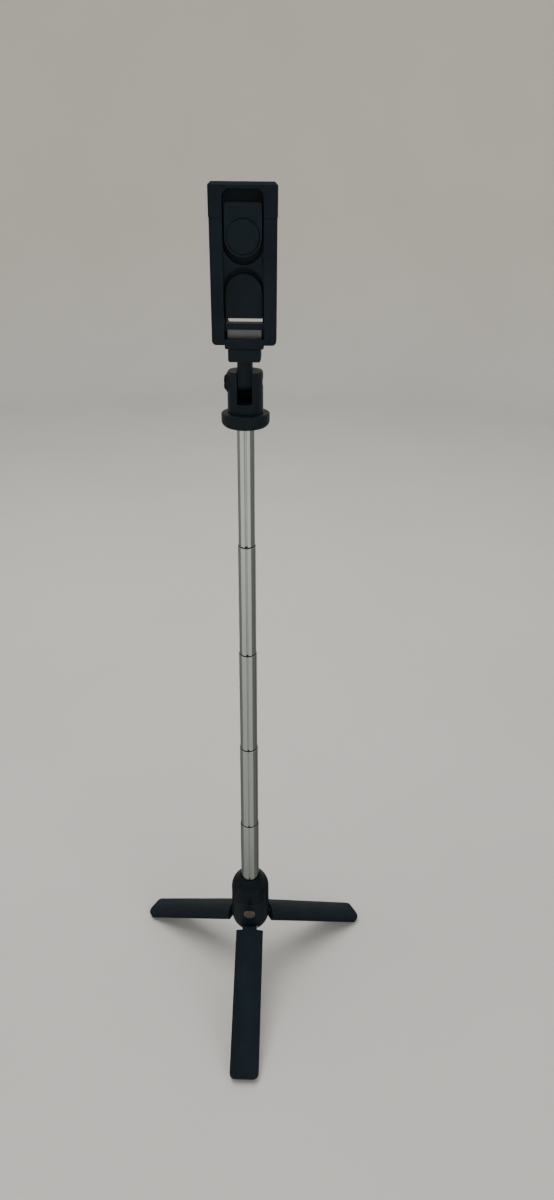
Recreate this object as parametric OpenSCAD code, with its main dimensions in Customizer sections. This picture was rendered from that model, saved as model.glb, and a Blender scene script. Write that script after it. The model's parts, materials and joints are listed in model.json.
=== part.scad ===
// Extending selfie stick that stands on its own folding tripod.
// Z is up and Z = 0 is the table. The stick's axis is the line X = 0, Y = stick_y.
// The phone is held on the +Y side of the clamp. The remote control faces -Y.

/* [Tripod] */
// Distance of each leg's hinge pin from the stick's axis
pin_r = 11.8; // [11.6:0.1:12.2]
// Height of the hinge pins above the table
pin_z = 68; // [64:0.5:74]
// Angle that an open leg makes with the stick
open_angle = 59.3; // [56:0.1:62]
// Width of a leg
leg_w = 25; // [22:0.5:25]
// Radius of the handle that the folded legs form
handle_r = 17.2; // [17.1:0.1:18]
// Radius of the hub
hub_r = 17.2; // [16.8:0.1:17.3]

/* [Tubes] */
// Radius of the widest tube
tube_r = 8.1; // [8.0:0.05:8.1]
// Wall of every tube
tube_wall = 0.35; // [0.25:0.05:0.35]
// Step in radius from one tube to the next
tube_step = 0.5; // [0.5:0.02:0.56]
// Length of each inner tube below the head or the joint above it
tube_len = 107; // [104:0.5:107]

/* [Head] */
// Radius of the disc on top of the tubes
disc_r = 16.3; // [15.1:0.2:17.1]
// Height of the tilt hinge above the table
tilt_z = 565.5; // [560:0.5:572]
// Radius of the fork
fork_r = 11.9; // [11.5:0.1:12.4]
// Width of the tilting arm's tongue
tongue_w = 9.6; // [8:0.1:9.8]

/* [Phone clamp] */
// Width of the clamp frame
clamp_w = 40.9; // [40:0.1:42]
// Height of the top of the closed clamp
clamp_top = 682; // [680:0.5:688]
// How far the upper jaw pulls out
jaw_travel = 30; // [20:1:30]
// How far the jaws stand out behind the clamp
jaw_reach = 20; // [17:0.5:22]

/* [Hidden] */
$fn = 72;

// The object stands with the middle of its footprint at X = 0, Y = 0.
stick_y = 25.77;
eps = 0.01;
far = 60;
leg_turns = [0, -120, 120];
fit = 0.05;

// Hub: two rounded ends on one cylinder.
hub_bottom = 62;
hub_low_centre = 71.5;
hub_split = 98;
hub_top_centre = 104.1;
pin_hole_r = 1.25;
pin_half = 10.2;
slot_half = 7;
rivet_z = 85;
rivet_r = 5.2;
bush_r = 10.4;
bush_bottom = 77;
bush_top = 114;
spigot_r = 13.6;
spigot_depth = 6;

// Legs, in the folded position around the axis.
leg_inner = 8.2;
leg_hollow_r = 8.75;
leg_start = 6.6;
foot_clear = 0.8;
leg_len = (pin_z - foot_clear - sin(open_angle) * (pin_r - leg_inner)) / cos(open_angle);
tip_r = pin_r + sin(open_angle) * leg_len - cos(open_angle) * (pin_r - leg_inner);
tip_round = 4.5;
tip_under = 2.5;
tip_corner = 5;
knuckle_r = 3;
tongue_half = 6.7;
foot_start = 2.6;
foot_len = 6;
foot_half = 5.5;

// Tubes, widest first: the height of each one's upper end, fully pulled out.
tube_tops = [182.6, 265.7, 357.5, 448.7];
tube_1_bottom = 74;
disc_bottom = 536.3;
disc_top = 546;
tube_5_top = 541;
plug_bottom = 526;
groove_side = 0.9;
groove_gap = 0.1;

// Head.
fork_bottom = disc_top;
fork_top = 573.2;
slot_floor = 553;
fork_slot_back = 6.4;
fork_screw_r = 1.5;
fork_screw_bottom = 529;
fork_screw_seat = 550.8;
arm_knuckle_r = 6;
arm_block_z = [579.5, 587.35];
arm_block_w = 21;
arm_block_d = 15;
tilt_pin_r = 2;
swivel_r = 2;
swivel_bottom = 572.5;
swivel_head_r = 3;
swivel_head_z = [590.2, 592.5];
swivel_pocket_r = 3.4;
swivel_pocket_z = 590;

// Clamp: heights and depths of its layers.
foot_z = [587.7, 593.7];
frame_z = [590.1, 662.5];
jaw_z = [662.9, clamp_top];
front_y = -8;
floor_y = -1.5;
wall_y = 0.5;
rear_y = 3;
cover_y = 4.6;
channel_half = 12.45;
channel_top = 678.4;
gap_z = [603, 606];
gap_half = 11.45;
bar_z = [599.3, 603];
scoop_top = 631.9;
scoop_arc_z = 623.35;
bay_arc_z = 649.35;
bracket_z = [592.9, 602.2];
bar_front = -6;
scoop_front = -5;
scoop_half = 11.5;
cover_screw_x = 13.6;
cover_screw_z = [600.5, 656];
cover_screw_r = 0.8;
cover_screw_head_r = 1.6;
lower_jaw_top = 597.4;
upper_jaw_bottom = clamp_top - 12;
spring_x = 16.2;
spring_y = -1.4;
spring_r = 2.4;
spring_room = 0.4;
spring_z = [601, 668];
slider_half = 10.2;
slider_y = [0.9, 2.4];
slider_hold = 22.9;
slider_z = [jaw_z[0] - jaw_travel - slider_hold, 676];
jaw_half = 17;
lip = 3;
lip_rise = 6;
pad_t = 1.5;

// Remote control, docked in the clamp's channel.
remote_half = 11.4;
button_z = 652.7;
remote_top = 671.2;
remote_front = -7.1;
remote_split = -3.4;
remote_rear = -1.6;
board_y = [-4.5, -3.7];
battery_r = 6.25;
battery_y = [-3.6, -2];
button_r = 9.6;
button_front = -8;
button_travel = 0.6;

// ---------- shared shapes ----------

// Move children from the stick's axis to its place over the footprint.
module on_axis(z = 0) {
    translate([0, stick_y, z]) children();
}

// A rounded rectangle about the origin, with true arcs.
module round_rect(w, h, r) {
    square([w - 2 * r, h], center = true);
    square([w, h - 2 * r], center = true);
    for (x = [-1, 1], y = [-1, 1])
        translate([x * (w / 2 - r), y * (h / 2 - r)]) circle(r);
}

// A rounded rectangle between two heights, in a vertical X-Z outline.
module round_span(w, z, r) {
    translate([0, (z[0] + z[1]) / 2]) round_rect(w, z[1] - z[0], r);
}

// Extrude an X-Z outline from one depth to another.
module slab(y0, y1) {
    translate([0, y1, 0]) rotate([90, 0, 0]) linear_extrude(y1 - y0) children();
}

// Extrude a Y-Z outline over a width in X.
module across(w) {
    translate([-w / 2, 0, 0]) rotate([90, 0, 90]) linear_extrude(w) children();
}

// A box from its low corner to its high corner.
module box(low, high) {
    translate(low) cube(high - low);
}

// A plain ring.
module ring(outer, inner, h) {
    difference() {
        cylinder(r = outer, h = h);
        translate([0, 0, -eps]) cylinder(r = inner, h = h + 2 * eps);
    }
}

// One copy for each leg.
module each_leg() {
    for (a = leg_turns) rotate(a) children();
}

// ---------- tubes ----------

function radius_of(k) = tube_r - (k - 1) * tube_step;
function groove_of(k) = groove_side + (k - 1) * 2 * (tube_wall + groove_gap);

// A circle with the rolled key groove on its -Y side.
module keyed_circle(r, groove) {
    difference() {
        circle(r);
        translate([0, -tube_r]) rotate(45) square(groove, center = true);
    }
}

module tube(k, z0, z1) {
    on_axis(z0) linear_extrude(z1 - z0) difference() {
        keyed_circle(radius_of(k), groove_of(k));
        keyed_circle(radius_of(k) - tube_wall, groove_of(k) + 2 * tube_wall);
    }
}

module tube_1() { color("silver") tube(1, tube_1_bottom, tube_tops[0]); }
module tube_2() { color("silver") tube(2, tube_tops[1] - tube_len, tube_tops[1]); }
module tube_3() { color("silver") tube(3, tube_tops[2] - tube_len, tube_tops[2]); }
module tube_4() { color("silver") tube(4, tube_tops[3] - tube_len, tube_tops[3]); }
module tube_5() { color("silver") tube(5, disc_bottom - tube_len, tube_5_top); }

// Plastic end of the widest tube. Its collar stops under the guide bush.
module tube_end_cap() {
    collar_r = 8.4;
    collar_top = bush_bottom - 0.3;
    base = 2.5;
    spigot = 2;
    color("dimgray") on_axis(tube_1_bottom) {
        difference() {
            translate([0, 0, -base]) cylinder(r = collar_r, h = collar_top - tube_1_bottom + base);
            linear_extrude(far) keyed_circle(tube_r, groove_side);
        }
        linear_extrude(spigot)
            keyed_circle(tube_r - tube_wall, groove_side + 2 * tube_wall);
    }
}

// ---------- hub ----------

// Where a leg's tongue swings: the outline in radius and height.
module slot_outline() {
    room = knuckle_r + 0.35;
    nx = cos(open_angle);
    nz = sin(open_angle);
    top = [pin_r + room * nx, pin_z + room * nz];
    reach = 12;
    polygon([
        [tube_r - 0.2, hub_bottom - 2], [tube_r - 0.2, pin_z + room],
        [pin_r, pin_z + room], top,
        [top[0] + reach * nz, top[1] - reach * nx], [top[0] + reach * nz, hub_bottom - 2]
    ]);
}

module hub_body() {
    bore_r = 8.8;
    color("#191f26") on_axis() difference() {
        union() {
            intersection() {
                translate([0, 0, hub_low_centre]) sphere(hub_r);
                translate([0, 0, hub_bottom]) cylinder(r = far, h = hub_low_centre - hub_bottom);
            }
            translate([0, 0, hub_low_centre]) cylinder(r = hub_r, h = hub_split - hub_low_centre);
        }
        translate([0, 0, hub_bottom - 1]) cylinder(r = bore_r, h = far);
        translate([0, 0, bush_bottom]) cylinder(r = bush_r, h = far);
        translate([0, 0, hub_split - spigot_depth]) cylinder(r = spigot_r, h = far);
        each_leg() {
            rotate(-90) translate([0, slot_half, 0]) rotate([90, 0, 0])
                linear_extrude(2 * slot_half) slot_outline();
            translate([-pin_half, -pin_r, pin_z]) rotate([0, 90, 0])
                cylinder(r = pin_hole_r, h = 2 * pin_half, $fn = 32);
            rivet_solid();
        }
    }
}

module hub_cap() {
    color("#191f26") on_axis() difference() {
        union() {
            intersection() {
                translate([0, 0, hub_top_centre]) sphere(hub_r);
                translate([0, 0, hub_top_centre]) cylinder(r = far, h = far);
            }
            translate([0, 0, hub_split]) cylinder(r = hub_r, h = hub_top_centre - hub_split);
            translate([0, 0, hub_split - spigot_depth])
                cylinder(r = spigot_r, h = spigot_depth + eps);
        }
        translate([0, 0, bush_bottom]) cylinder(r = bush_r, h = bush_top - bush_bottom);
        translate([0, 0, hub_split]) cylinder(r = tube_r + 0.35, h = far);
    }
}

// Sleeve that the widest tube slides in, with a key for its groove.
module guide_bush() {
    color("#30363c") on_axis(bush_bottom) linear_extrude(bush_top - bush_bottom) difference() {
        circle(bush_r);
        keyed_circle(tube_r + fit, groove_side - 2 * fit);
    }
}

// A rivet on the hub's -Y side: a low round head and its shank.
module rivet_solid() {
    seat = 15.6;
    head_t = 1.2;
    shank_r = 1.8;
    translate([0, -seat, rivet_z]) rotate([90, 0, 0]) {
        cylinder(r = rivet_r, h = head_t);
        translate([0, 0, head_t]) cylinder(r1 = rivet_r, r2 = rivet_r - 0.7, h = 0.5);
    }
    translate([0, -bush_r - 0.4, rivet_z]) rotate([90, 0, 0])
        cylinder(r = shank_r, h = seat - bush_r, $fn = 32);
}

module hub_rivets() {
    color("#c08050") on_axis() each_leg() rivet_solid();
}

module leg_pins() {
    color("silver") on_axis() each_leg()
        translate([-pin_half, -pin_r, pin_z]) rotate([0, 90, 0])
            cylinder(r = pin_hole_r, h = 2 * pin_half, $fn = 32);
}

// ---------- legs ----------

// Place a leg that is drawn folded, with the axis at X = Y = 0 and the pin at Z = 0.
module opened(turn) {
    on_axis() rotate(turn) translate([0, -pin_r, pin_z]) rotate([-open_angle, 0, 0])
        translate([0, pin_r, 0]) children();
}

module leg_section() {
    intersection() {
        circle(handle_r);
        translate([-leg_w / 2, -handle_r - 1]) square([leg_w, handle_r + 1 - leg_inner]);
    }
}

// Side view of the leg's blade: rounded down at its tip.
module leg_side() {
    outer = handle_r + 1;
    translate([-outer, -leg_len + tip_round]) square([outer, leg_len - tip_round - leg_start]);
    translate([-handle_r + tip_round, -leg_len])
        square([handle_r - tip_round - leg_inner - tip_under, leg_len - leg_start]);
    translate([-leg_inner - tip_under, -leg_len + tip_under])
        square([leg_inner + tip_under, leg_len - leg_start - tip_under]);
    translate([-handle_r + tip_round, -leg_len + tip_round]) circle(tip_round);
    translate([-leg_inner - tip_under, -leg_len + tip_under]) circle(tip_under);
}

// Front view of the blade: rounded corners at its tip.
module leg_front_outline() {
    translate([0, -(leg_len + leg_start) / 2]) {
        round_rect(leg_w, leg_len - leg_start, tip_corner);
        translate([-leg_w / 2, 0]) square([leg_w, (leg_len - leg_start) / 2]);
    }
}

module leg(turn) {
    hollow_end = leg_len - 14;
    opened(turn) difference() {
        union() {
            intersection() {
                translate([0, 0, -leg_len]) linear_extrude(leg_len) leg_section();
                across(leg_w + 2) leg_side();
                slab(-handle_r - 1, 0) leg_front_outline();
            }
            translate([-tongue_half, -pin_r, 0]) rotate([0, 90, 0])
                cylinder(r = knuckle_r, h = 2 * tongue_half);
            box([-tongue_half, -pin_r - knuckle_r, -leg_start - 3],
                [tongue_half, -pin_r + knuckle_r, 0]);
        }
        translate([0, 0, -hollow_end]) cylinder(r = leg_hollow_r, h = hollow_end - leg_start);
        translate([-leg_w / 2, -pin_r, 0]) rotate([0, 90, 0])
            cylinder(r = pin_hole_r + fit, h = leg_w, $fn = 32);
    }
}

module leg_front() { color("#161c24") leg(leg_turns[0]); }
module leg_left() { color("#161c24") leg(leg_turns[1]); }
module leg_right() { color("#161c24") leg(leg_turns[2]); }

// Rubber wedge under a leg's tip, level with the table when the leg is open.
module foot(turn) {
    slope = 1 / tan(open_angle);
    under = [foot_start, foot_start + foot_len];
    on_axis() rotate(turn) translate([0, -tip_r, 0]) across(2 * foot_half) polygon([
        [under[0] + 0.6, 0], [under[1], 0],
        [under[1], foot_clear + under[1] * slope], [under[0], foot_clear + under[0] * slope]
    ]);
}

module foot_front() { color("#22262a") foot(leg_turns[0]); }
module foot_left() { color("#22262a") foot(leg_turns[1]); }
module foot_right() { color("#22262a") foot(leg_turns[2]); }

// ---------- head ----------

module tube_plug() {
    screw_hole = 1.5;
    color("dimgray") on_axis(plug_bottom) linear_extrude(tube_5_top - plug_bottom) difference() {
        keyed_circle(radius_of(5) - tube_wall, groove_of(5) + 2 * tube_wall);
        circle(screw_hole);
    }
}

// Thick round collar on the tubes: a small round on top, a large one underneath.
module head_disc() {
    top_edge = 1;
    under = 4.6;
    rim = disc_top - disc_bottom;
    color("#1b2128") on_axis(disc_bottom) difference() {
        rotate_extrude() {
            square([disc_r - under, rim]);
            translate([0, under]) square([disc_r - top_edge, rim - under]);
            translate([0, under]) square([disc_r, rim - under - top_edge]);
            translate([disc_r - top_edge, rim - top_edge]) circle(top_edge);
            translate([disc_r - under, under]) circle(under);
        }
        translate([0, 0, -1]) cylinder(r = radius_of(5), h = tube_5_top - disc_bottom + 1);
        cylinder(r = fork_screw_r, h = far);
    }
}

module head_fork() {
    top_round = 1.8;
    boss_r = 6.2;
    nut_depth = 3.4;
    slot_half_w = tongue_w / 2 + 0.2;
    color("#1b2128") on_axis() difference() {
        union() {
            intersection() {
                translate([0, 0, fork_bottom]) cylinder(r = fork_r, h = fork_top - fork_bottom);
                slab(-far, far) round_span(2 * fork_r, [fork_bottom - 5, fork_top], top_round);
            }
            translate([-fork_r - 0.3, 0, tilt_z]) rotate([0, 90, 0]) cylinder(r = boss_r, h = 4);
        }
        box([-slot_half_w, -far, slot_floor], [slot_half_w, fork_slot_back, fork_top + 5]);
        translate([-far, 0, tilt_z]) rotate([0, 90, 0]) cylinder(r = tilt_pin_r, h = 2 * far);
        translate([fork_r - nut_depth, 0, tilt_z]) rotate([0, 90, 0])
            cylinder(r = 4, h = 9, $fn = 6);
        translate([0, 0, disc_top - 1]) cylinder(r = fork_screw_r, h = far);
        translate([0, 0, fork_screw_seat]) cylinder(r = 3, h = 9);
    }
}

module fork_screw() {
    color("silver") on_axis() {
        translate([0, 0, fork_screw_seat]) cylinder(r = 3, h = 2);
        translate([0, 0, fork_screw_bottom])
            cylinder(r = fork_screw_r, h = fork_screw_seat + 1 - fork_screw_bottom);
    }
}

module hinge_screw() {
    head_x = -fork_r - 0.3;
    color("#23282e") on_axis(tilt_z) {
        translate([head_x, 0, 0]) rotate([0, 90, 0]) cylinder(r = tilt_pin_r, h = 2 * fork_r - 0.6);
        difference() {
            union() {
                translate([head_x, 0, 0]) rotate([0, -90, 0]) cylinder(r = 5, h = 0.9);
                translate([head_x - 0.9, 0, 0]) rotate([0, -90, 0]) cylinder(r1 = 5, r2 = 3.8, h = 0.7);
            }
            box([head_x - 2, -0.5, -6], [head_x - 0.8, 0.5, 6]);
            box([head_x - 2, -6, -0.5], [head_x - 0.8, 6, 0.5]);
        }
    }
}

module hinge_nut() {
    color("silver") on_axis(tilt_z) translate([fork_r - 3.4, 0, 0]) rotate([0, 90, 0])
        difference() {
            cylinder(r = 4, h = 2.4, $fn = 6);
            translate([0, 0, -1]) cylinder(r = tilt_pin_r, h = 5);
        }
}

// Tongue that turns in the fork, with a flat front above its round end, under a block.
module tilt_arm() {
    color("#191f26") on_axis() difference() {
        union() {
            translate([-tongue_w / 2, 0, tilt_z]) rotate([0, 90, 0])
                cylinder(r = arm_knuckle_r, h = tongue_w);
            box([-tongue_w / 2, -arm_knuckle_r, tilt_z],
                [tongue_w / 2, arm_knuckle_r, arm_block_z[0] + 1]);
            slab(-arm_block_d / 2, arm_block_d / 2) intersection() {
                round_span(arm_block_w, [arm_block_z[0], arm_block_z[1] + 4], 1.6);
                translate([-far, 0]) square([2 * far, arm_block_z[1]]);
            }
        }
        translate([-far, 0, tilt_z]) rotate([0, 90, 0])
            cylinder(r = tilt_pin_r + fit, h = 2 * far);
        translate([0, 0, swivel_bottom - 1]) cylinder(r = swivel_r, h = far);
    }
}

// Pivot screw of the swivel, fixed in the arm. Its head holds the clamp's foot.
module swivel_screw() {
    color("silver") on_axis() {
        translate([0, 0, swivel_bottom])
            cylinder(r = swivel_r, h = swivel_head_z[0] + 1 - swivel_bottom);
        translate([0, 0, swivel_head_z[0]])
            cylinder(r = swivel_head_r, h = swivel_head_z[1] - swivel_head_z[0]);
    }
}

module swivel_washer() {
    color("silver") on_axis(arm_block_z[1]) ring(5, swivel_r, foot_z[0] - arm_block_z[1] - eps);
}

// ---------- phone clamp ----------

module clamp_foot() {
    color("#1b2128") on_axis() difference() {
        slab(front_y + 0.2, rear_y) round_span(2 * channel_half - 0.1, foot_z, 0.8);
        cylinder(r = swivel_r + fit, h = foot_z[1] + 1);
        swivel_pocket();
        bracket_solid();
    }
}

// Room for the head of the swivel's screw.
module swivel_pocket() {
    translate([0, 0, swivel_pocket_z])
        cylinder(r = swivel_pocket_r, h = foot_z[1] - swivel_pocket_z + eps);
}

// The full width of the clamp's channel between two heights.
module channel_outline(z0, z1) {
    translate([-channel_half, z0]) square([2 * channel_half, z1 - z0]);
}

// A tab with a half-round upper end.
module tombstone(half, z0, z1) {
    translate([-half, z0]) square([2 * half, z1 - half - z0]);
    translate([0, z1 - half]) circle(half);
}

// Bridge between the remote's bay and the scoop: hollowed round on both sides.
module bridge_outline() {
    difference() {
        channel_outline(scoop_arc_z, bay_arc_z);
        for (z = [scoop_arc_z, bay_arc_z]) translate([0, z]) circle(channel_half);
    }
}

// The slot through the clamp above the bar.
module gap_cut() {
    slab(front_y - 3, far) translate([-gap_half, gap_z[0]])
        square([2 * gap_half, gap_z[1] - gap_z[0]]);
}

// The notch in the middle of the lower jaw's lip, for the phone's socket.
module lip_notch() {
    ledge = 3.2;
    side = 0.5;
    above = 4;
    corner = 2;
    size = [2 * (gap_half + side), 2 * (lip_rise - ledge + above)];
    translate([0, far, 0]) slab(-far + jaw_reach - lip - side, 0)
        translate([0, lower_jaw_top + lip_rise + above]) round_rect(size[0], size[1], corner);
}

// One of something at each cover screw, pointing to -Y from the cover's face.
module each_cover_screw() {
    for (s = [-1, 1], z = cover_screw_z)
        translate([s * cover_screw_x, cover_y, z]) rotate([90, 0, 0]) {
                $fn = 24;
                children();
            }
}

module clamp_frame() {
    corner = 2.8;
    cavity_half = slider_half + 0.4;
    pocket_bottom = spring_z[0] - 0.2;
    color("#191f26") on_axis() difference() {
        union() {
            difference() {
                slab(front_y, rear_y) intersection() {
                    round_span(clamp_w, [frame_z[0], frame_z[1] + 10], corner);
                    translate([-far, 0]) square([2 * far, frame_z[1]]);
                }
                slab(front_y - 1, floor_y) channel_outline(foot_z[1], frame_z[1] + 1);
            }
            slab(bar_front, floor_y) channel_outline(bar_z[0], bar_z[1]);
            slab(scoop_front, floor_y) tombstone(scoop_half, gap_z[1], scoop_top);
            slab(bar_front, floor_y) bridge_outline();
            across(2 * jaw_half) polygon([
                [rear_y - 1, frame_z[0]], [jaw_reach - 1.5, frame_z[0]],
                [jaw_reach, frame_z[0] + 1.5], [jaw_reach, lower_jaw_top + lip_rise + 0.5],
                [jaw_reach - 1, lower_jaw_top + lip_rise + 1.5],
                [jaw_reach - lip, lower_jaw_top + lip_rise],
                [jaw_reach - lip, lower_jaw_top], [rear_y - 1, lower_jaw_top]
            ]);
        }
        slab(front_y - 1, rear_y + eps) channel_outline(foot_z[0] - 1, foot_z[1]);
        swivel_pocket();
        gap_cut();
        lip_notch();
        box([-cavity_half, wall_y, gap_z[1]], [cavity_half, rear_y + 1, frame_z[1] + 1]);
        for (s = [-1, 1]) translate([s * spring_x, spring_y, pocket_bottom])
            cylinder(r = spring_r + spring_room, h = jaw_z[1] - pocket_bottom, $fn = 32);
        each_cover_screw() cylinder(r = cover_screw_r, h = 3.8);
        bracket_solid();
    }
}

// Steel plate that stiffens the foot of the clamp and shows in its window.
module bracket_solid() {
    box([-10.9, -2.8, bracket_z[0]], [10.9, floor_y, bracket_z[1]]);
}

module steel_bracket() {
    color("#8a8f90") on_axis() bracket_solid();
}

module clamp_cover() {
    cover_z = [lower_jaw_top, 661.5];
    color("#1d2329") on_axis() difference() {
        slab(rear_y, cover_y) round_span(clamp_w - 3, cover_z, 2);
        gap_cut();
        each_cover_screw() {
            translate([0, 0, -1]) cylinder(r = cover_screw_r, h = 9);
            translate([0, 0, -1]) cylinder(r = cover_screw_head_r, h = 1.8);
        }
    }
}

module cover_screws() {
    color("silver") on_axis() each_cover_screw() {
        translate([0, 0, 0.1]) cylinder(r = cover_screw_head_r, h = 0.7);
        translate([0, 0, 0.5]) cylinder(r = cover_screw_r, h = 3.2);
    }
}

module back_pad() {
    color("#2a2e33") on_axis() slab(cover_y, cover_y + pad_t)
        round_span(21, [612, 652], 4);
}

module lower_jaw_pad() {
    color("#2a2e33") on_axis() box(
        [-14, cover_y + 0.6, lower_jaw_top], [14, jaw_reach - lip, lower_jaw_top + pad_t]);
}

// Closing springs, one in each rail.
module jaw_springs() {
    color("silver") on_axis() for (s = [-1, 1])
        translate([s * spring_x, spring_y, spring_z[0]])
            ring(spring_r, spring_r - 0.6, spring_z[1] - spring_z[0]);
}

module slider_plate() {
    color("#8a8f90") on_axis() slab(slider_y[0], slider_y[1])
        round_span(2 * slider_half, slider_z, 1.5);
}

module upper_jaw() {
    w = clamp_w + 0.5;
    front = front_y - 0.3;
    back = cover_y + 0.4;
    bevel = 1.8;
    jaw_top = upper_jaw_bottom + 5;
    color("#191f26") on_axis() difference() {
        union() {
            intersection() {
                slab(front, back) polygon([
                    [-w / 2, jaw_z[0]], [w / 2, jaw_z[0]], [w / 2, jaw_z[1] - bevel],
                    [w / 2 - bevel, jaw_z[1]], [-w / 2 + bevel, jaw_z[1]], [-w / 2, jaw_z[1] - bevel]
                ]);
                across(w + 2) polygon([
                    [front, jaw_z[0]], [back, jaw_z[0]], [back, jaw_z[1] - bevel],
                    [back - bevel, jaw_z[1]], [front + bevel, jaw_z[1]], [front, jaw_z[1] - bevel]
                ]);
            }
            across(2 * jaw_half) polygon([
                [back - 1, upper_jaw_bottom], [jaw_reach - lip, upper_jaw_bottom],
                [jaw_reach - lip, upper_jaw_bottom - lip_rise],
                [jaw_reach - 1, upper_jaw_bottom - lip_rise - 1.5],
                [jaw_reach, upper_jaw_bottom - lip_rise - 0.5], [jaw_reach, jaw_top - 1.5],
                [jaw_reach - 1.5, jaw_top], [back - 1, jaw_top]
            ]);
        }
        slab(front - 1, floor_y) intersection() {
            round_span(2 * channel_half, [jaw_z[0] - 12, channel_top], 5);
            translate([-far, jaw_z[0] - 1]) square([2 * far, far]);
        }
        box([-slider_half, slider_y[0], jaw_z[0] - 1], [slider_half, slider_y[1], slider_z[1]]);
        for (s = [-1, 1]) translate([s * spring_x, spring_y, jaw_z[0] - 1])
            cylinder(r = spring_r + spring_room, h = spring_z[1] - jaw_z[0] + 1, $fn = 32);
    }
}

module upper_jaw_pad() {
    color("#2a2e33") on_axis() box(
        [-14, cover_y + 0.9, upper_jaw_bottom - pad_t], [14, jaw_reach - lip, upper_jaw_bottom]);
}

// ---------- remote control ----------

// Outline of the remote: flat on top, round at the bottom, around the button.
module remote_outline(shrink = 0) {
    half = remote_half - shrink;
    corner = 2;
    translate([0, button_z]) circle(half);
    translate([-half, button_z]) square([2 * half, remote_top - shrink - corner - button_z]);
    translate([-half + corner, button_z])
        square([2 * (half - corner), remote_top - shrink - button_z]);
    for (s = [-1, 1]) translate([s * (half - corner), remote_top - shrink - corner]) circle(corner);
}

module remote_shell() {
    wall = 1;
    dish_z = 664.6;
    dish_r = 9.8;
    color("#1c232a") on_axis() difference() {
        slab(remote_front, remote_split) remote_outline();
        slab(remote_front + wall, remote_split + 1) remote_outline(wall);
        slab(remote_front - 1, remote_split) translate([0, button_z]) circle(button_r + 0.3);
        slab(remote_front - 1, remote_front + 0.4) intersection() {
            translate([0, dish_z]) circle(dish_r);
            translate([-far, 0]) square([2 * far, remote_top - 1.5]);
        }
    }
}

module remote_back() {
    color("#1c232a") on_axis() difference() {
        slab(remote_split, remote_rear) remote_outline();
        slab(remote_split - 1, battery_y[1] + 0.05)
            translate([0, button_z]) circle(battery_r + 0.15);
    }
}

module remote_board() {
    color("#2f5d43") on_axis() slab(board_y[0], board_y[1]) remote_outline(1.3);
}

// Coin cell between the board and the back.
module remote_battery() {
    color("silver") on_axis() slab(battery_y[0], battery_y[1])
        translate([0, button_z]) circle(battery_r);
}

// Round push button: its rim stays behind the shell and its stem faces the board.
module remote_button() {
    rim_y = remote_front + 1.1;
    rim_t = 0.6;
    dimple_r = 0.7;
    stem_r = 1.2;
    color("#232b33") on_axis() difference() {
        translate([0, 0, button_z]) {
            slab(button_front, rim_y + rim_t) circle(button_r);
            slab(rim_y, rim_y + rim_t) circle(button_r + 0.6);
            slab(rim_y, board_y[0] - button_travel - 0.1) circle(stem_r);
        }
        slab(button_front - 1, button_front + 0.3) translate([0, button_z]) circle(dimple_r);
    }
}

hub_body();
hub_cap();
guide_bush();
hub_rivets();
leg_pins();
leg_front();
leg_left();
leg_right();
foot_front();
foot_left();
foot_right();
tube_1();
tube_2();
tube_3();
tube_4();
tube_5();
tube_end_cap();
tube_plug();
head_disc();
head_fork();
fork_screw();
hinge_screw();
hinge_nut();
tilt_arm();
swivel_screw();
swivel_washer();
clamp_foot();
clamp_frame();
steel_bracket();
clamp_cover();
cover_screws();
back_pad();
lower_jaw_pad();
jaw_springs();
slider_plate();
upper_jaw();
upper_jaw_pad();
remote_shell();
remote_back();
remote_board();
remote_battery();
remote_button();
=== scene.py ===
"""Looks for the selfie stick with the tripod handle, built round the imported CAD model. Metres."""
import json
import math

import bmesh
import bpy
from mathutils import Matrix, Vector


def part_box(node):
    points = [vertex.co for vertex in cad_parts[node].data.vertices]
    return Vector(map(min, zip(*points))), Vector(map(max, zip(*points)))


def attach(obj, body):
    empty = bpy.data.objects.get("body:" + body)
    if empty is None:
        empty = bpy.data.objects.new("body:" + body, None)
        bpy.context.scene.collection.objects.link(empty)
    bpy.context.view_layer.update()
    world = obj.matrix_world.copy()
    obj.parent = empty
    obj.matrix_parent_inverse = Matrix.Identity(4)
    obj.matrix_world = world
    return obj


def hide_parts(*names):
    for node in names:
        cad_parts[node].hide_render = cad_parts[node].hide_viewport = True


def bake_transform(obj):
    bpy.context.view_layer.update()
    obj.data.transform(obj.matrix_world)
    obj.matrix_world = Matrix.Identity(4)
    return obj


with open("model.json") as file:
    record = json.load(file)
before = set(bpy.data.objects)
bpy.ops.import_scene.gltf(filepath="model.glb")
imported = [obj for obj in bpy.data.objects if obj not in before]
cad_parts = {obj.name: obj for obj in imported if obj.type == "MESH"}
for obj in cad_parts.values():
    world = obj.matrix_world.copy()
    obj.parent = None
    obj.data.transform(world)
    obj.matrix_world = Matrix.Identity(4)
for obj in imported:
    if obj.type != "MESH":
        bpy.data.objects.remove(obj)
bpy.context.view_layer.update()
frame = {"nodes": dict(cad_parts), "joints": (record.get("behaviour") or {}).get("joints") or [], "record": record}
record = frame["record"]
MM = 0.001

# The camera, from the table contact of the three feet and the joints of the tubes.
CAMERA_FROM_STICK = (31.1 * MM, -518.0 * MM, 672.6 * MM)
CAMERA_YAW = -0.97
CAMERA_PITCH = -27.37
CAMERA_ROLL = 0.56
LENS = 23.2

LEG_TURNS = {"front": 0, "left": -120, "right": 120}


def centre(node):
    low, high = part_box(node)
    return (low + high) / 2


STICK_Y = centre("head_disc").y

# ---------- shader helpers ----------


def new_material(name):
    material = bpy.data.materials.new(name)
    material.use_nodes = True
    tree = material.node_tree
    shader = tree.nodes["Principled BSDF"]
    return material, tree, shader


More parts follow.
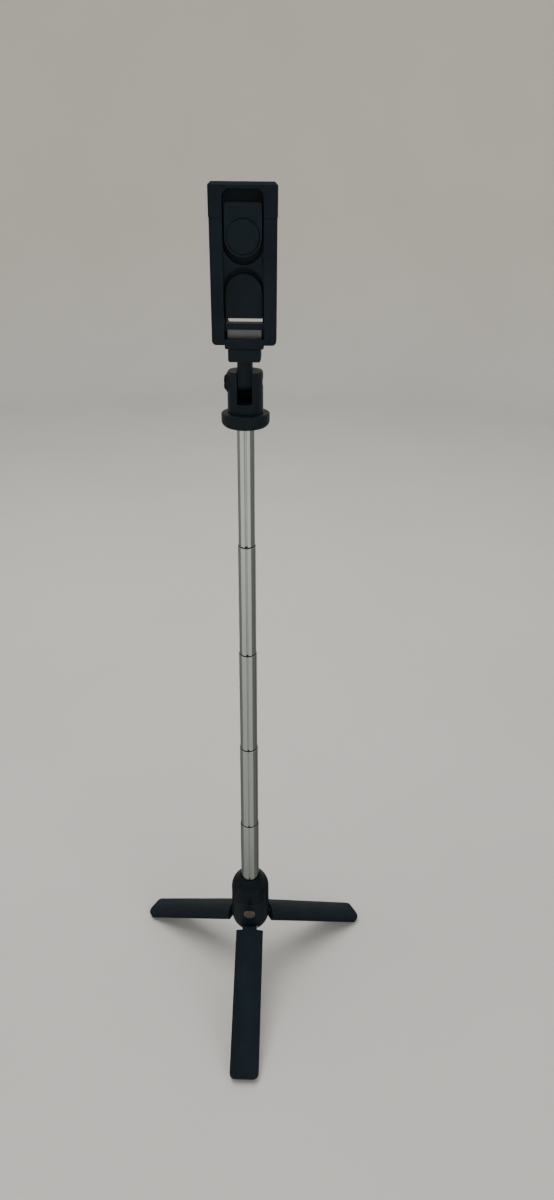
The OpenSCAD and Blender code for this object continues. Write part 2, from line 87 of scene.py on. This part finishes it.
def noise(tree, scale, detail=3.0, stretch=(1, 1, 1)):
    """A noise value over the object's own coordinates; scale is in features per metre."""
    coordinates = tree.nodes.new("ShaderNodeTexCoord")
    mapping = tree.nodes.new("ShaderNodeMapping")
    mapping.inputs["Scale"].default_value = stretch
    texture = tree.nodes.new("ShaderNodeTexNoise")
    texture.inputs["Scale"].default_value = scale
    texture.inputs["Detail"].default_value = detail
    tree.links.new(coordinates.outputs["Object"], mapping.inputs["Vector"])
    tree.links.new(mapping.outputs["Vector"], texture.inputs["Vector"])
    return texture.outputs["Fac"]


def ramp(tree, value, stops):
    """A colour ramp over a value; stops are (place, colour)."""
    node = tree.nodes.new("ShaderNodeValToRGB")
    elements = node.color_ramp.elements
    while len(elements) < len(stops):
        elements.new(0.5)
    for element, (place, colour) in zip(elements, stops):
        element.position = place
        element.color = (*colour, 1)
    tree.links.new(value, node.inputs["Fac"])
    return node.outputs["Color"]


def grey(level):
    return (level, level, level)


def scaled(colour, k):
    return tuple(k * c for c in colour)


def bump(tree, shader, *layers):
    """Chained bumps; each layer is (height output, strength, distance in metres)."""
    normal = None
    for height, strength, distance in layers:
        node = tree.nodes.new("ShaderNodeBump")
        node.inputs["Strength"].default_value = strength
        node.inputs["Distance"].default_value = distance
        tree.links.new(height, node.inputs["Height"])
        if normal:
            tree.links.new(normal, node.inputs["Normal"])
        normal = node.outputs["Normal"]
    tree.links.new(normal, shader.inputs["Normal"])


# ---------- materials ----------


def moulded(name, colour, rough, grain=1.0, gloss=0.3):
    """Moulded plastic or rubber: cloudy colour, faint handling marks, fine spark-eroded grain."""
    material, tree, shader = new_material(name)
    cloud = noise(tree, 45, 4)
    marks = noise(tree, 420, 5, (1, 1, 0.35))
    fine = noise(tree, 5200, 2)
    base = ramp(tree, cloud, [(0.3, scaled(colour, 0.82)), (0.7, scaled(colour, 1.2))])
    tree.links.new(base, shader.inputs["Base Color"])
    sheen = ramp(tree, marks, [(0.3, grey(rough - 0.05)), (0.75, grey(rough + 0.08))])
    tree.links.new(sheen, shader.inputs["Roughness"])
    shader.inputs["Specular IOR Level"].default_value = gloss
    bump(tree, shader, (marks, 0.04, 0.00004), (fine, 0.14 * grain, 0.00003))
    return material


def polished(name, colour, rough, gloss):
    """Glossy moulded plastic with fine handling scratches."""
    material, tree, shader = new_material(name)
    cloud = noise(tree, 60, 3)
    scratches = noise(tree, 900, 4, (1, 0.15, 1))
    base = ramp(tree, cloud, [(0.3, scaled(colour, 0.85)), (0.7, scaled(colour, 1.15))])
    tree.links.new(base, shader.inputs["Base Color"])
    sheen = ramp(tree, scratches, [(0.35, grey(rough)), (0.8, grey(rough + 0.07))])
    tree.links.new(sheen, shader.inputs["Roughness"])
    shader.inputs["Specular IOR Level"].default_value = gloss
    bump(tree, shader, (scratches, 0.03, 0.00001))
    return material


def drawn_steel(name, colour, rough, lines=(1, 1, 0.02), depth=0.05):
    """Drawn or rolled steel: fine lines along its length and a cloudy polish."""
    material, tree, shader = new_material(name)
    streaks = noise(tree, 2600, 3, lines)
    cloud = noise(tree, 90, 3)
    tone = ramp(tree, streaks, [(0.3, scaled(colour, 0.9)), (0.7, colour)])
    tree.links.new(tone, shader.inputs["Base Color"])
    polish = ramp(tree, cloud, [(0.3, grey(rough - 0.03)), (0.7, grey(rough + 0.05))])
    tree.links.new(polish, shader.inputs["Roughness"])
    shader.inputs["Metallic"].default_value = 1.0
    bump(tree, shader, (streaks, depth, 0.00002))
    return material


def spun_metal(name, colour, rough):
    """Small turned or stamped metal pieces."""
    material, tree, shader = new_material(name)
    cloud = noise(tree, 700, 4)
    fine = noise(tree, 5000, 2)
    tone = ramp(tree, cloud, [(0.3, scaled(colour, 0.8)), (0.72, colour)])
    tree.links.new(tone, shader.inputs["Base Color"])
    polish = ramp(tree, cloud, [(0.25, grey(rough)), (0.8, grey(rough + 0.14))])
    tree.links.new(polish, shader.inputs["Roughness"])
    shader.inputs["Metallic"].default_value = 1.0
    bump(tree, shader, (fine, 0.08, 0.00002))
    return material


BLACK = (0.0050, 0.0116, 0.0178)
MATERIALS = {
    "hub_plastic": polished("hub_plastic_satin", scaled(BLACK, 0.8), 0.31, 0.26),
    "leg_plastic": moulded("leg_plastic_satin", BLACK, 0.44, 0.9, 0.24),
    "clamp_plastic": moulded("clamp_plastic_satin", BLACK, 0.46, 1.0, 0.24),
    "remote_plastic": moulded("remote_plastic_satin", scaled(BLACK, 1.12), 0.46, 1.1, 0.26),
    "bush_plastic": moulded("bush_acetal", (0.02, 0.022, 0.024), 0.5, 0.5, 0.3),
    "rubber": moulded("silicone_rubber", (0.010, 0.012, 0.014), 0.68, 1.6, 0.25),
    "tube_steel": drawn_steel("tube_stainless", (0.70, 0.72, 0.68), 0.12),
    "steel": spun_metal("plated_steel", (0.48, 0.48, 0.47), 0.3),
    "black_steel": spun_metal("black_oxide_steel", (0.018, 0.021, 0.025), 0.4),
    "copper": spun_metal("copper_plate", (0.37, 0.295, 0.23), 0.45),
    "board": moulded("epoxy_board", (0.02, 0.11, 0.05), 0.4, 0.4),
}
# Nodes whose finish differs from the rest of their slot; the hub cap is also darker, as painted shade on the top
# of the hub.
SHEET_STEEL = drawn_steel("zinc_sheet", (0.25, 0.268, 0.285), 0.42, (0.03, 1, 1), 0.12)
SPECIAL = {
    "steel_bracket": SHEET_STEEL,
    "slider_plate": SHEET_STEEL,
    # Glossier finish, and a darker colour than the hub body that is painted shade.
    "hub_cap": polished("hub_cap_gloss_painted_shade", scaled(BLACK, 0.62), 0.22, 0.22),
}

# Edges that hands have rubbed: a little smoother than the faces, and lighter, partly as wear and partly as a
# painted highlight that makes the rounded edges catch glints.
WORN_AND_GLINT = {
    "leg_plastic": moulded("leg_plastic_worn_glint_edge", scaled(BLACK, 1.5), 0.34, 0.3, 0.3),
    "clamp_plastic": moulded("clamp_plastic_worn_glint_edge", scaled(BLACK, 1.5), 0.34, 0.3, 0.3),
    "remote_plastic": moulded("remote_plastic_worn_glint_edge", scaled(BLACK, 1.6), 0.3, 0.3, 0.4),
}

# ---------- CAD nodes ----------

EDGE_ANGLE = math.radians(34)


def rounded_edges(obj, width):
    """Rounds the edges that turn by more than EDGE_ANGLE."""
    bevel = obj.modifiers.new("rounded_edges", "BEVEL")
    bevel.width = width
    bevel.segments = 3
    bevel.limit_method = "ANGLE"
    bevel.angle_limit = EDGE_ANGLE
    bevel.harden_normals = True
    return bevel


def soften(obj, width, edge_material):
    """Rounds a CAD node's sharp edges: weld, clean flat faces, bevel, even out the shading."""
    weld = obj.modifiers.new("weld", "WELD")
    weld.merge_threshold = 0.000002
    flat = obj.modifiers.new("flat_faces", "DECIMATE")
    flat.decimate_type = "DISSOLVE"
    flat.angle_limit = math.radians(0.4)
    bevel = rounded_edges(obj, width)
    # The bevel faces take the lighter edge material: part wear, part painted highlight.
    if edge_material:
        obj.data.materials.append(edge_material)
        bevel.material = 1
    even = obj.modifiers.new("even_shading", "WEIGHTED_NORMAL")
    even.keep_sharp = True


# Rounding of each CAD node's edges, in millimetres. Nodes left out keep their edges.
EDGE = {
    "hub_body": 0.35, "hub_cap": 0.35, "head_fork": 0.5, "tilt_arm": 0.5,
    "clamp_frame": 0.45, "clamp_foot": 0.4, "clamp_cover": 0.3, "upper_jaw": 0.5,
    "leg_front": 0.6, "leg_left": 0.6, "leg_right": 0.6, "hub_rivets": 0.2,
    "remote_shell": 0.3, "remote_back": 0.2, "remote_button": 0.25,
    "steel_bracket": 0.15, "slider_plate": 0.2, "hinge_screw": 0.15, "hinge_nut": 0.15,
    "tube_end_cap": 0.3, "swivel_washer": 0.05,
}


def dress_cad():
    for part in record["subparts"]:
        name, slot = part["node"], part["material_slot"]
        node = frame["nodes"][name]
        node.data.materials.clear()
        node.data.materials.append(SPECIAL.get(name, MATERIALS[slot]))
        if name in EDGE:
            soften(node, EDGE[name] * MM, WORN_AND_GLINT.get(slot))


# ---------- mesh helpers ----------


def outward_mesh(name, verts, faces):
    """A mesh whose faces all point outwards."""
    mesh = bpy.data.meshes.new(name)
    mesh.from_pydata([tuple(v) for v in verts], [], faces)
    build = bmesh.new()
    build.from_mesh(mesh)
    bmesh.ops.recalc_face_normals(build, faces=build.faces)
    build.to_mesh(mesh)
    build.free()
    return mesh


def piece(name, verts, faces, slot, body):
    """A mesh piece with smooth shading, its slot's material, riding on a body."""
    mesh = outward_mesh(name, verts, faces)
    for face in mesh.polygons:
        face.use_smooth = True
    obj = bpy.data.objects.new(name, mesh)
    bpy.context.collection.objects.link(obj)
    obj.data.materials.append(MATERIALS[slot])
    if body:
        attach(obj, body)
    return obj


def sweep(sections, closed=False, capped=True):
    """Verts and faces of a skin through equal loops; closed joins the last loop to the first."""
    verts = [point for loop in sections for point in loop]
    n, rows = len(sections[0]), len(sections)
    faces = []
    for i in range(rows if closed else rows - 1):
        j = (i + 1) % rows
        faces += [(i * n + k, i * n + (k + 1) % n, j * n + (k + 1) % n, j * n + k)
                  for k in range(n)]
    if capped and not closed:
        faces += [tuple(range(n)), tuple((rows - 1) * n + k for k in range(n))]
    return verts, faces


def ring_profile(middle, profile, steps=64):
    """A ring turned round a vertical axis through middle; profile is (radius, height)."""
    sections = []
    for i in range(steps):
        a = 2 * math.pi * i / steps
        sections.append([
            middle + Vector((r * math.cos(a), r * math.sin(a), z)) for r, z in profile
        ])
    return sweep(sections, closed=True)


# ---------- tubes ----------

TUBE_STEP = 0.5 * MM
TUBE_WALL = 0.35 * MM
GROOVE_GAP = 0.1 * MM
GROOVE_SIDE = 0.9 * MM
KEY_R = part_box("tube_1")[1].x


def groove_outline(radius, side):
    """Round outline with the rolled key groove on its -Y side, its corners softened."""
    count = 240
    smoothings = 4
    deepest = -KEY_R + side / math.sqrt(2)
    points = []
    for i in range(count):
        across = (i / count) * 2 - 1
        a = math.pi * (across + across ** 3) / 2
        x, y = radius * math.sin(a), -radius * math.cos(a)
        points.append(Vector((x, max(y, deepest - abs(x)) if y < 0 else y, 0)))
    for _ in range(smoothings):
        points = [
            points[i] * 0.5 + (points[i - 1] + points[(i + 1) % count]) * 0.25
            for i in range(count)
        ]
    return points


def tube(number, body):
    """Drawn tube with a soft key groove and a mouth that is rolled in towards the next tube."""
    node = "tube_%d" % number
    low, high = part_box(node)
    radius = KEY_R - (number - 1) * TUBE_STEP
    side = GROOVE_SIDE + (number - 1) * 2 * (TUBE_WALL + GROOVE_GAP)
    outer = groove_outline(radius, side)
    inner = groove_outline(radius - TUBE_WALL, side + 2 * TUBE_WALL)
    roll = 0.22 * MM
    turn = 0.6 * MM
    bottom = 2 * MM
    lap = 0.05 * MM
    foot = Vector((0, STICK_Y, 0))
    rows = []
    spans = 12
    levels = [low.z, low.z + bottom]
    levels += [low.z + (high.z - low.z) * k / spans for k in range(1, spans)]
    for z in levels + [high.z - 2 * turn, high.z - turn]:
        rows.append([foot + p + Vector((0, 0, z)) for p in outer])
    steps = 5
    for step in range(1, steps + 1):
        a = math.pi / 2 * step / steps
        k = 1 - roll * (1 - math.cos(a)) / radius
        z = high.z - turn + turn * math.sin(a)
        rows.append([foot + p * k + Vector((0, 0, z)) for p in outer])
    rows.append([foot + p * (1 - lap / radius) + Vector((0, 0, high.z)) for p in inner])
    for z in (high.z - turn, low.z):
        rows.append([foot + p + Vector((0, 0, z)) for p in inner])
    verts, faces = sweep(rows, closed=True)
    shape = piece("drawn_" + node, verts, faces, "tube_steel", body)
    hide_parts(node)
    return high.z, radius


def painted_shade_ring(number, top, radius, body):
    """Dark ring in the mouth of a tube, round the next tube: painted shade, a dark piece put where the step
    between the two tubes shows a shadow gap.
    """
    inner = radius - TUBE_STEP + 0.03 * MM
    outer = radius - 0.16 * MM
    rise = 0.75 * MM
    profile = [(inner, -0.5 * MM), (inner, rise), (outer - 0.12 * MM, rise),
               (outer, rise - 0.15 * MM), (outer, 0.02 * MM), (inner + 0.08 * MM, 0.0)]
    verts, faces = ring_profile(Vector((0, STICK_Y, top)), profile)
    piece("mouth_ring_%d" % number, verts, faces, "bush_plastic", body)


def tubes():
    bodies = ["tube_1", "tube_2", "tube_3", "tube_4", "head"]
    for i, body in enumerate(bodies):
        top, radius = tube(i + 1, body)
        # Painted shade: a dark ring in the mouth of every tube but the last.
        if i < 4:
            painted_shade_ring(i + 1, top, radius, body)


# ---------- springs ----------


def coil_springs():
    """Two closing coil springs, in the space of the CAD jaw springs."""
    low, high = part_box("jaw_springs")
    wire = 0.35 * MM
    outer = (high.y - low.y) / 2
    coil = outer - wire
    pitch = 1.15 * MM
    length = high.z - low.z - 2 * wire
    turns = length / pitch
    around, per_turn = 8, 20
    for side, name in ((-1, "jaw_spring_left"), (1, "jaw_spring_right")):
        x = (high.x - outer) * side
        y = (low.y + high.y) / 2
        sections = []
        for i in range(int(turns * per_turn) + 1):
            a = 2 * math.pi * i / per_turn
            out = Vector((math.cos(a), math.sin(a), 0))
            middle = Vector((x, y, low.z + wire)) + out * coil
            middle.z += length * i / (turns * per_turn)
            sections.append([
                middle + out * wire * math.cos(b) + Vector((0, 0, wire * math.sin(b)))
                for b in (2 * math.pi * k / around for k in range(around))
            ])
        verts, faces = sweep(sections)
        spring = piece(name, verts, faces, "steel", None)
        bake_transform(spring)
        if side < 0:
            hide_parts("jaw_springs")


# ---------- pads and feet ----------


def ribbed_pad(name, node, body, slot, face, along, corner, pitch, rib):
    """Rubber pad with soft edges and ribs: face points outwards, along crosses the ribs."""
    low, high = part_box(node)
    middle = (low + high) / 2
    size = high - low
    face, along = Vector(face), Vector(along)
    across = face.cross(along)
    thick = abs(size.dot(face))
    half_l = abs(size.dot(along)) / 2
    half_w = abs(size.dot(across)) / 2
    back = middle - face * thick / 2
    row_step = 0.25 * MM
    rows_n = int(2 * half_l / row_step)
    columns = [-1, -0.985, -0.965, -0.94, -0.9, -0.8, -0.5, 0]
    columns += [-c for c in reversed(columns[:-1])]
    edge = 0.5 * MM

    def half_width(s):
        over = abs(s) - (half_l - corner)
        if over <= 0:
            return half_w
        return half_w - corner + math.sqrt(max(corner ** 2 - over ** 2, 0))

    def height(t, s, reach):
        d = min(reach - abs(t), half_l - abs(s))
        soft = math.sqrt(max(1 - (1 - min(max(d / edge, 0), 1)) ** 2, 0))
        inside = min(max((d - 1.4 * edge) / edge, 0), 1)
        wave = 0.5 + 0.5 * math.cos(2 * math.pi * s / pitch)
        return (thick - rib) * soft + rib * inside * wave ** 0.6

    verts, faces = [], []
    n = len(columns)
    for i in range(rows_n + 1):
        s = -half_l + 2 * half_l * i / rows_n
        reach = half_width(s)
        verts += [back + along * s + across * reach * c + face * height(reach * c, s, reach)
                  for c in columns]
    faces += [(i * n + k, i * n + k + 1, (i + 1) * n + k + 1, (i + 1) * n + k)
              for i in range(rows_n) for k in range(n - 1)]
    rim = list(range(n)) + [i * n + n - 1 for i in range(1, rows_n + 1)]
    rim += [rows_n * n + k for k in range(n - 2, -1, -1)]
    rim += [i * n for i in range(rows_n - 1, 0, -1)]
    faces.append(tuple(rim))
    pad = piece(name, verts, faces, slot, body)
    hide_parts(node)


def pads():
    ribbed_pad("ribbed_back_pad", "back_pad", "clamp", "rubber", (0, 1, 0), (0, 0, 1),
               4 * MM, 2.2 * MM, 0.5 * MM)
    ribbed_pad("ribbed_lower_pad", "lower_jaw_pad", "clamp", "rubber", (0, 0, 1), (1, 0, 0),
               1 * MM, 2 * MM, 0.45 * MM)
    ribbed_pad("ribbed_upper_pad", "upper_jaw_pad", "jaw", "rubber", (0, 0, -1), (1, 0, 0),
               1 * MM, 2 * MM, 0.45 * MM)


def leg_foot(name, turn):
    """Rubber wedge under a leg's tip: grooves across its sole, rounded edges."""
    low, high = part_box("foot_front")
    slope = math.tan(math.radians(90 - open_angle()))
    length = high.y - low.y
    outer_top = high.z - slope * length
    grooves = 3
    groove_w, groove_h, draft = 0.5 * MM, 0.4 * MM, 0.1 * MM
    heel = 0.6 * MM
    outline = [(low.y + heel, 0.0)]
    for i in range(grooves):
        y = low.y + heel + (length - heel) * (i + 0.75) / (grooves + 0.5)
        outline += [(y, 0.0), (y + draft, groove_h), (y + groove_w - draft, groove_h),
                    (y + groove_w, 0.0)]
    outline += [(high.y, 0.0), (high.y, high.z), (low.y, outer_top)]
    sections = [[Vector((x, y, z)) for y, z in outline] for x in (low.x, high.x)]
    spin = Matrix.Translation((0, STICK_Y, 0)) @ Matrix.Rotation(math.radians(turn), 4, "Z")
    spin = spin @ Matrix.Translation((0, -STICK_Y, 0))
    verts, faces = sweep([[spin @ p for p in loop] for loop in sections])
    foot = piece("grooved_" + name, verts, faces, "rubber", name.replace("foot", "leg"))
    rounded_edges(foot, 0.18 * MM)
    for face in foot.data.polygons:
        face.use_smooth = False
    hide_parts(name)


def open_angle():
    """How far an open leg stands out from the stick, from its hinge's range."""
    hinge = next(j for j in frame["joints"] if j["name"] == "leg_front_fold")
    return hinge["range_deg"][1]


# ---------- clamp details ----------


def stop_lip():
    """Low rim on top of each rail, under the closed jaw: it fills the seam between the two."""
    low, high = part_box("clamp_frame")
    seam = 0.4 * MM
    clear = 0.05 * MM
    top = high.z + seam - clear
    inset = 0.35 * MM
    side_inset = 0.06 * MM
    wall = 0.9 * MM
    channel_side = 12.45 * MM
    front, rear = low.y + inset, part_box("clamp_cover")[0].y - inset
    base = high.z - 0.6 * MM
    slider_low, slider_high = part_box("slider_plate")
    floor_front = slider_low.y - 2 * MM
    floor_x = slider_high.x + 0.6 * MM
    overlap = 0.3 * MM
    for side, name in ((-1, "stop_lip_left"), (1, "stop_lip_right")):
        x0, x1 = channel_side + side_inset, high.x - side_inset
        outer = [(x0, front), (x1, front), (x1, rear), (x0, rear)]
        inner = [(x0 + wall, front + wall), (x1 - wall, front + wall),
                 (x1 - wall, rear - wall), (x0 + wall, rear - wall)]
        verts = [Vector((side * x, y, z)) for z in (base, top) for x, y in outer + inner]
        faces = []
        for k in range(4):
            m = (k + 1) % 4
            faces += [(k, m, m + 8, k + 8), (k + 4, m + 4, m + 12, k + 12),
                      (k, m, m + 4, k + 4), (k + 8, m + 8, m + 12, k + 12)]
        floor = [(floor_x, rear), (x0 + overlap, rear),
                 (x0 + overlap, floor_front), (floor_x, floor_front)]
        strip, strip_faces = sweep([[Vector((side * x, y, z)) for x, y in floor]
                                    for z in (base, top)])
        faces += [tuple(i + len(verts) for i in face) for face in strip_faces]
        verts += strip
        lip = piece(name, verts, faces, "clamp_plastic", "clamp")
        for face in lip.data.polygons:
            face.use_smooth = False


def cross_screws():
    """Pan-head cover screws with a cross recess, facing the phone."""
    node = frame["nodes"]["cover_screws"]
    low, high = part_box("cover_screws")
    radius = 1.6 * MM
    places = [(sx, sz) for sx in (low.x + radius, high.x - radius)
              for sz in (low.z + radius, high.z - radius)]
    face_y = high.y
    count = 32
    cross_w, cross_l, deep = 0.22 * MM, 1.0 * MM, 0.45 * MM
    # The head's profile from its seat to its top: (radius, depth below the top).
    profile = [(radius, 0.75 * MM), (radius, 0.35 * MM), (radius - 0.12 * MM, 0.15 * MM),
               (radius - 0.4 * MM, 0.03 * MM), (radius * 0.7, 0)]
    turns = [2 * math.pi * k / count for k in range(count)]
    for number, (x, z) in enumerate(places):
        sections = [[Vector((x + r * math.cos(a), face_y - depth, z + r * math.sin(a)))
                     for a in turns] for r, depth in profile]
        verts, faces = sweep(sections)
        screw = piece("cover_screw_%d" % (number + 1), verts, faces, "steel", "clamp")
        carve(screw, *cross_cutter(x, z, face_y, cross_w, cross_l, deep))
        if number == 0:
            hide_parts(node.name)


def cross_cutter(x, z, face_y, wide, long, deep):
    """A cross that widens towards the screw's face and stands a little out of it."""
    above = 0.2 * MM
    at_bottom, at_top = 0.7, 1.1
    outline = [(wide, wide), (wide, long), (-wide, long), (-wide, wide),
               (-long, wide), (-long, -wide), (-wide, -wide), (-wide, -long),
               (wide, -long), (wide, -wide), (long, -wide), (long, wide)]
    sections = [[Vector((x + a * k, y, z + b * k)) for a, b in outline]
                for y, k in ((face_y - deep, at_bottom), (face_y + above, at_top))]
    return sweep(sections)


def carve(obj, verts, faces):
    """Cuts a closed shape out of a piece, for good."""
    mesh = outward_mesh("cutter", verts, faces)
    cutter = bpy.data.objects.new("cutter", mesh)
    bpy.context.collection.objects.link(cutter)
    cut = obj.modifiers.new("cut", "BOOLEAN")
    cut.object = cutter
    cut.operation = "DIFFERENCE"
    cut.solver = "EXACT"
    graph = bpy.context.evaluated_depsgraph_get()
    result = bpy.data.meshes.new_from_object(obj.evaluated_get(graph))
    obj.modifiers.remove(cut)
    obj.data = result
    bpy.data.objects.remove(cutter)
    bpy.data.meshes.remove(mesh)


# ---------- stage ----------


def curved_backdrop():
    """A pale round floor that curves up into a wall on all sides of the object."""
    reach, radius, height = 3.0, 0.6, 2.2
    profile = [(0.4, 0.0), (reach - radius, 0.0)]
    steps = 12
    for i in range(1, steps + 1):
        a = math.pi / 2 * i / steps
        profile.append((reach - radius + radius * math.sin(a), radius - radius * math.cos(a)))
    profile.append((reach, height))
    around = 96
    turns = [2 * math.pi * k / around for k in range(around)]
    rows = [[(r * math.cos(t), r * math.sin(t), z) for t in turns] for r, z in profile]
    verts, faces = sweep(rows, capped=False)
    faces.append(tuple(reversed(range(around))))
    mesh = bpy.data.meshes.new("backdrop")
    mesh.from_pydata(verts, [], faces)
    for face in mesh.polygons:
        face.use_smooth = True
    obj = bpy.data.objects.new("backdrop", mesh)
    bpy.context.collection.objects.link(obj)
    material, tree, shader = new_material("pale_paint")
    wash = noise(tree, 3, 2)
    wall = ramp(tree, wash, [(0.3, (0.69, 0.655, 0.585)), (0.7, (0.715, 0.68, 0.61))])
    floor = ramp(tree, wash, [(0.3, (0.70, 0.69, 0.655)), (0.7, (0.73, 0.72, 0.685))])
    coordinates = tree.nodes.new("ShaderNodeTexCoord")
    split = tree.nodes.new("ShaderNodeSeparateXYZ")
    rise = tree.nodes.new("ShaderNodeMapRange")
    rise.inputs["From Max"].default_value = radius
    mix = tree.nodes.new("ShaderNodeMix")
    mix.data_type = "RGBA"
    tree.links.new(coordinates.outputs["Object"], split.inputs["Vector"])
    tree.links.new(split.outputs["Z"], rise.inputs["Value"])
    tree.links.new(rise.outputs["Result"], mix.inputs["Factor"])
    low, high = (socket for socket in mix.inputs if socket.type == "RGBA")
    tree.links.new(floor, low)
    tree.links.new(wall, high)
    result = next(socket for socket in mix.outputs if socket.type == "RGBA")
    tree.links.new(result, shader.inputs["Base Color"])
    shader.inputs["Roughness"].default_value = 0.8
    shader.inputs["Specular IOR Level"].default_value = 0.1
    mesh.materials.append(material)


def reflector(name, start, end, stops):
    """Part of a flat fan on the floor that only reflections see; angles from the front, in degrees.
    stops are (distance from the stick in metres, brightness)."""
    steps = 10
    near, far, lift = 0.02, 2.4, 0.002
    verts = []
    for i in range(steps + 1):
        a = math.radians(start + (end - start) * i / steps)
        out = Vector((math.sin(a), -math.cos(a), 0))
        verts += [tuple(out * near), tuple(out * far)]
    faces = [(2 * i, 2 * i + 1, 2 * i + 3, 2 * i + 2) for i in range(steps)]
    mesh = bpy.data.meshes.new(name)
    mesh.from_pydata(verts, [], faces)
    card = bpy.data.objects.new(name, mesh)
    card.location = (0, STICK_Y, lift)
    bpy.context.collection.objects.link(card)
    material = bpy.data.materials.new(name)
    material.use_nodes = True
    tree = material.node_tree
    tree.nodes.clear()
    coordinates = tree.nodes.new("ShaderNodeTexCoord")
    distance = tree.nodes.new("ShaderNodeVectorMath")
    distance.operation = "LENGTH"
    share = tree.nodes.new("ShaderNodeMath")
    share.operation = "DIVIDE"
    share.inputs[1].default_value = far
    glow = tree.nodes.new("ShaderNodeEmission")
    output = tree.nodes.new("ShaderNodeOutputMaterial")
    tree.links.new(coordinates.outputs["Object"], distance.inputs[0])
    tree.links.new(distance.outputs["Value"], share.inputs[0])
    tint = (0.95, 1.0, 0.94)
    colour = ramp(tree, share.outputs["Value"], [(d / far, scaled(tint, b)) for d, b in stops])
    tree.links.new(colour, glow.inputs["Color"])
    tree.links.new(glow.outputs["Emission"], output.inputs["Surface"])
    mesh.materials.append(material)
    card.visible_camera = False
    card.visible_diffuse = False
    card.visible_shadow = False
    card.visible_transmission = False
    card.visible_volume_scatter = False


def reflectors():
    reflector("reflector_left", -118, -80, [(0.1, 0.16), (0.8, 0.2), (2.0, 0.24)])
    reflector("reflector_front", -80, 57,
              [(0.12, 0.27), (0.19, 0.385), (0.31, 0.43), (0.77, 0.575), (1.2, 0.72)])
    reflector("reflector_right", 57, 104, [(0.1, 0.14), (0.8, 0.16), (2.0, 0.18)])
    reflector("reflector_back_right", 104, 142, [(0.1, 0.1), (0.8, 0.13), (2.0, 0.16)])
    reflector("reflector_back", 142, 216, [(0.12, 0.2), (0.45, 0.34), (1.2, 0.5)])
    reflector("reflector_back_left", 216, 242, [(0.1, 0.13), (0.8, 0.16), (2.0, 0.2)])


def area_light(name, place, target, size, power, colour=(1, 1, 1)):
    data = bpy.data.lights.new(name, "AREA")
    data.shape = "RECTANGLE"
    data.size, data.size_y = size
    data.energy = power
    data.color = colour
    obj = bpy.data.objects.new(name, data)
    bpy.context.collection.objects.link(obj)
    obj.location = place
    obj.rotation_euler = (Vector(target) - Vector(place)).to_track_quat("-Z", "Y").to_euler()
    obj.visible_glossy = False
    obj.visible_camera = False


def studio_light():
    world = bpy.data.worlds.new("studio")
    bpy.context.scene.world = world
    world.use_nodes = True
    background = world.node_tree.nodes["Background"]
    background.inputs["Color"].default_value = (0.95, 0.96, 1.0, 1)
    background.inputs["Strength"].default_value = 0.44
    area_light("overhead", (-0.35, 0.1, 1.9), (0, 0, 0.2), (1.3, 1.0), 20, (1, 0.98, 0.95))
    area_light("window", (1.3, -1.5, 1.1), (0, 0, 0.4), (1.2, 1.4), 12, (0.93, 0.97, 1.0))
    area_light("wall_wash", (0, 0.7, 1.7), (0, 3, 0.8), (3.0, 1.0), 13, (1, 0.98, 0.94))


def photo_camera():
    data = bpy.data.cameras.new("photo_camera")
    data.sensor_fit = "AUTO"
    data.sensor_width = 36
    data.lens = LENS
    data.clip_start = 0.01
    camera = bpy.data.objects.new("photo_camera", data)
    bpy.context.collection.objects.link(camera)
    x, y, z = CAMERA_FROM_STICK
    turn = Matrix.Rotation(math.radians(-CAMERA_YAW), 4, "Z")
    tip = Matrix.Rotation(math.radians(90 + CAMERA_PITCH), 4, "X")
    roll = Matrix.Rotation(math.radians(CAMERA_ROLL), 4, "Z")
    camera.matrix_world = Matrix.Translation((x, y + STICK_Y, z)) @ turn @ tip @ roll
    bpy.context.scene.camera = camera


photo_camera()
dress_cad()
tubes()
coil_springs()
pads()
for leg, leg_turn in LEG_TURNS.items():
    leg_foot("foot_" + leg, leg_turn)
stop_lip()
cross_screws()
curved_backdrop()
reflectors()
studio_light()
